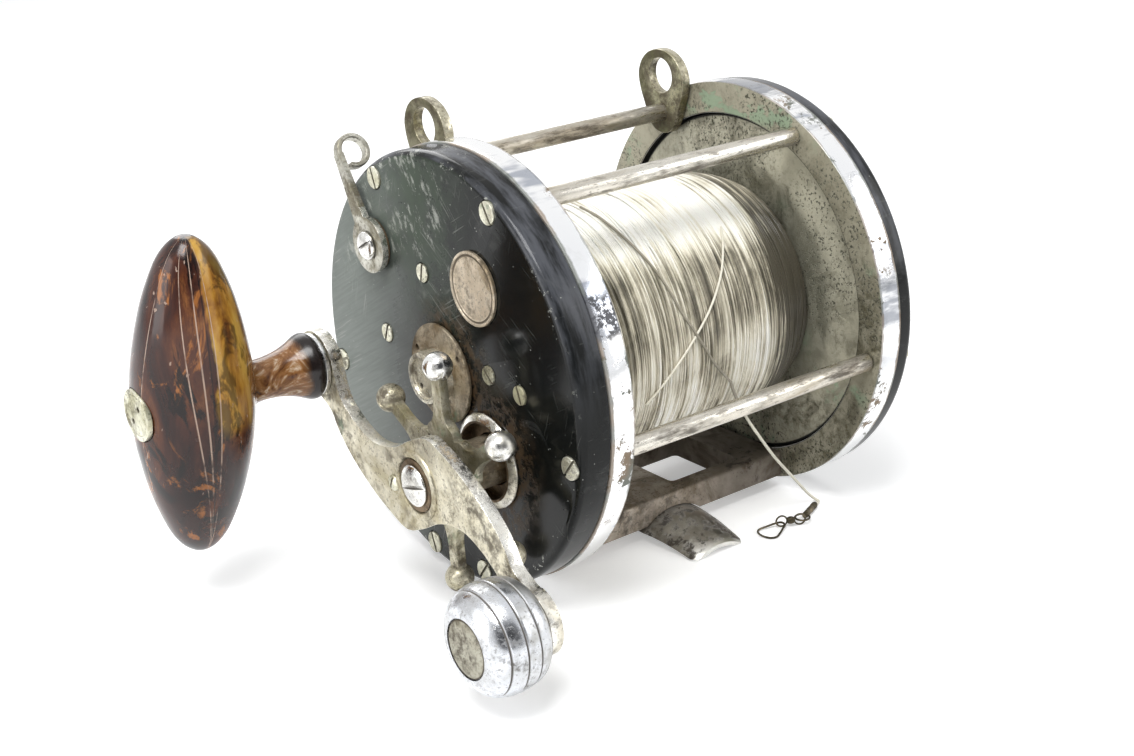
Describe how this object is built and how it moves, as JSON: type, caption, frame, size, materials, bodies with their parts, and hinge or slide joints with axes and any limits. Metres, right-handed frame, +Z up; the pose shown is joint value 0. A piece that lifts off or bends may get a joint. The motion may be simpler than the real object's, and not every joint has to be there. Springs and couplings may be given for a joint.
{
  "type": "trolling reel",
  "caption": "Star drag trolling reel with side crank and grip, saddle foot, harness lugs and wound line ending in a snap swivel.",
  "frame": {"origin": "middle of the box of the reel without its free line and tackle, on the surface it stands on", "axes": "+X along the spool's axis, from the crank side to the tail side; +Y from the crank's counterbalance towards the foot's rear toe; +Z up, away from the rod seat"},
  "size_m": [0.1982, 0.14, 0.1271],
  "materials": {
    "worn_chrome": "worn chrome plate",
    "dull_nickel": "dull nickel plate with some verdigris",
    "pitted_bronze": "pitted, dull",
    "black_ebonite": "black, polished, faded in places",
    "brass": "machined",
    "steel": "machined",
    "drag_fibre": "pressed fibre",
    "tortoiseshell": "mottled dark red-brown, polished",
    "line_cream": "cream line",
    "tackle_brass": "dark, tarnished"
  },
  "bodies": {
    "frame": {"head_ring": "worn_chrome", "head_plate": "black_ebonite", "tail_ring": "worn_chrome", "tail_plate": "black_ebonite", "pillar_low_front": "dull_nickel", "pillar_low_rear": "dull_nickel", "pillar_top_front": "dull_nickel", "pillar_top_rear": "dull_nickel", "harness_lug_head": "dull_nickel", "harness_lug_tail": "dull_nickel", "stand_frame": "pitted_bronze", "reel_foot": "pitted_bronze", "bridge_plate": "brass", "gear_stud": "steel", "medallion": "dull_nickel", "spool_cap": "dull_nickel", "head_bushing": "brass", "tail_cap": "dull_nickel", "tail_bushing": "brass", "crank_bushing": "dull_nickel", "lever_washer": "dull_nickel", "dog_spring": "steel", "click_spring": "steel", "free_line": "line_cream", "crimp_sleeve": "tackle_brass", "swivel": "tackle_brass", "snap": "tackle_brass"},
    "crank": {"gear_sleeve": "steel", "ratchet": "steel", "main_gear": "brass", "drag_washer_fibre": "drag_fibre", "drag_washer_steel": "steel", "drag_pressure_plate": "steel", "spacer_sleeve": "steel", "crank_arm": "dull_nickel", "crank_washer": "dull_nickel", "crank_screw": "dull_nickel", "crank_lock_screw": "dull_nickel", "counterbalance": "worn_chrome", "counterbalance_cap": "dull_nickel", "grip_spindle": "steel", "grip_collar": "worn_chrome", "grip_end_screw": "dull_nickel"},
    "star": {"star_wheel": "dull_nickel"},
    "grip": {"grip": "tortoiseshell"},
    "spool": {"spool": "dull_nickel", "spool_shaft": "steel", "line_core": "line_cream", "wound_line": "line_cream", "click_gear": "brass"},
    "pinion": {"pinion": "steel"},
    "yoke": {"pinion_yoke": "brass", "yoke_high_spring": "steel", "yoke_low_spring": "steel"},
    "lever": {"free_spool_lever": "dull_nickel", "lever_screw": "dull_nickel", "lever_cam": "brass"},
    "dog": {"dog": "steel"},
    "click": {"click_tongue": "steel", "click_button": "dull_nickel"}
  },
  "joints": [
    {"name": "crank_turn", "type": "hinge", "parent": "frame", "child": "crank", "pos_m": [0, -0.00901, 0.0406], "axis": [1, 0, 0], "continuous": true},
    {"name": "spool_spin", "type": "hinge", "parent": "frame", "child": "spool", "pos_m": [0, 0.00999, 0.06], "axis": [1, 0, 0], "continuous": true},
    {"name": "lever_turn", "type": "hinge", "parent": "frame", "child": "lever", "pos_m": [0, 0.03859, 0.0899], "axis": [-1, 0, 0], "range_deg": [0, 42]},
    {"name": "yoke_slide", "type": "slide", "parent": "frame", "child": "yoke", "axis": [-1, 0, 0], "range_m": [0, 0.0015]},
    {"name": "pinion_spin", "type": "hinge", "parent": "yoke", "child": "pinion", "pos_m": [0, 0.00999, 0.06], "axis": [1, 0, 0], "continuous": true},
    {"name": "star_turn", "type": "hinge", "parent": "crank", "child": "star", "pos_m": [0, -0.00901, 0.0406], "axis": [1, 0, 0], "range_deg": [-180, 180]},
    {"name": "grip_spin", "type": "hinge", "parent": "crank", "child": "grip", "pos_m": [0, 0.03776, 0.06143], "axis": [1, 0, 0], "continuous": true},
    {"name": "dog_lift", "type": "hinge", "parent": "frame", "child": "dog", "pos_m": [0, -0.02501, 0.0632], "axis": [-1, 0, 0], "range_deg": [0, 8], "stiffness_Nm_per_rad": 0.02, "springref_deg": -5.73},
    {"name": "click_slide", "type": "slide", "parent": "frame", "child": "click", "axis": [0, -0.766, -0.6428], "range_m": [0, 0.005]}
  ],
  "couplings": [
    {"joint": "spool_spin", "follows": "crank_turn", "ratio": -2.5},
    {"joint": "pinion_spin", "follows": "crank_turn", "ratio": -2.5},
    {"joint": "yoke_slide", "follows": "lever_turn", "m_per_rad": 0.00204}
  ]
}
